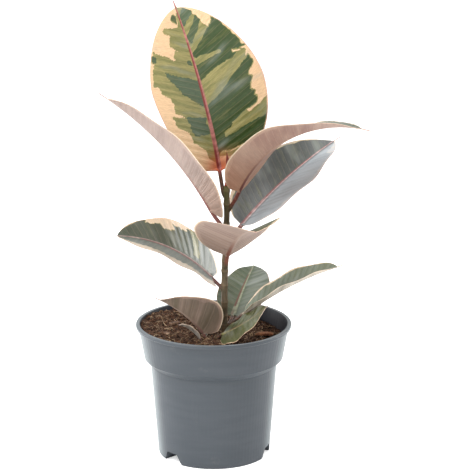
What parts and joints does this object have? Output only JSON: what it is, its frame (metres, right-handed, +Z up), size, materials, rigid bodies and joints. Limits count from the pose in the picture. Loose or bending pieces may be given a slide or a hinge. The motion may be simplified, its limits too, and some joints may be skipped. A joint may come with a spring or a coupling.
{
  "type": "potted plant",
  "caption": "Young variegated rubber plant with broad leaves on an upright stem, growing in soil in a round tapered plastic nursery pot.",
  "frame": {"origin": "centre of the pot's flat base, on the ground", "axes": "+Z up along the pot's axis towards the top leaf, +X to the right seen from the front, the front faces -Y"},
  "size_m": [0.2001, 0.1586, 0.3513],
  "materials": {
    "pot_plastic": "satin blue-grey, moulded",
    "soil": "loose, moist and fibrous",
    "stem_bark": "thin bark, olive and brown",
    "bud_sheath": "smooth, satin",
    "leaf": "waxy, variegated green, grey and cream, dusty pink beneath",
    "bark": "rough, dry"
  },
  "bodies": {
    "root": {"pot": "pot_plastic", "soil": "soil", "stem": "stem_bark", "terminal_bud": "bud_sheath", "top_leaf": "leaf", "upper_right_leaf": "leaf", "upper_left_leaf": "leaf", "back_right_leaf": "leaf", "mid_front_leaf": "leaf", "mid_left_leaf": "leaf", "low_right_leaf": "leaf", "low_back_leaf": "leaf", "low_front_right_leaf": "leaf", "low_front_left_leaf": "leaf", "low_left_small_leaf": "leaf", "bark_chip_1": "bark", "bark_chip_2": "bark", "bark_chip_3": "bark", "bark_chip_4": "bark", "bark_chip_5": "bark", "bark_chip_6": "bark"}
  },
  "joints": []
}
